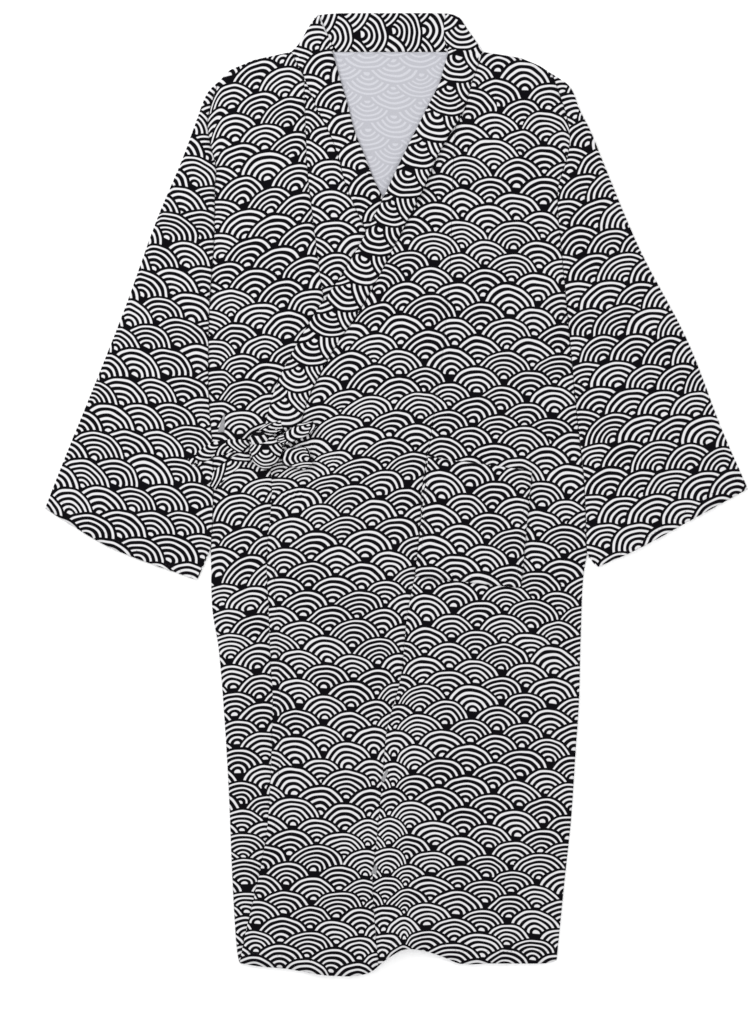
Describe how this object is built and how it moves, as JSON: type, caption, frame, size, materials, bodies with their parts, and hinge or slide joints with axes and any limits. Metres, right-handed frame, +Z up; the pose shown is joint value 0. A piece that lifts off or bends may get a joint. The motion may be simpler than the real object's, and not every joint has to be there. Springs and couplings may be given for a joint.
{
  "type": "kimono",
  "caption": "Mid-length wrap robe of printed cotton laid flat, front up, with wide tapered sleeves, collar band, overlap panels, patch pocket and a knotted side tie.",
  "frame": {"origin": "centre of the bounding box on the floor that the robe lies on", "axes": "+Y towards the neck, along the longest extent; +Z up from the floor, the thinnest extent; +X towards the wearer's left, the viewer's right"},
  "size_m": [0.878, 1.2029, 0.0171],
  "materials": {
    "printed_cotton": "plain-weave cotton, white wave pattern on black",
    "cotton_reverse": "pale grey reverse side of the printed cotton"
  },
  "bodies": {
    "root": {"back": "cotton_reverse", "front_right": "printed_cotton", "overlap_right": "printed_cotton", "front_left": "printed_cotton", "overlap_left": "printed_cotton", "sleeve_right": "printed_cotton", "sleeve_left": "printed_cotton", "collar": "printed_cotton", "pocket": "printed_cotton", "tie_lead": "printed_cotton", "tie_knot": "printed_cotton", "tie_loop_high": "printed_cotton", "tie_loop_low": "printed_cotton", "tie_strand": "printed_cotton", "tie_tail": "printed_cotton"}
  },
  "joints": []
}
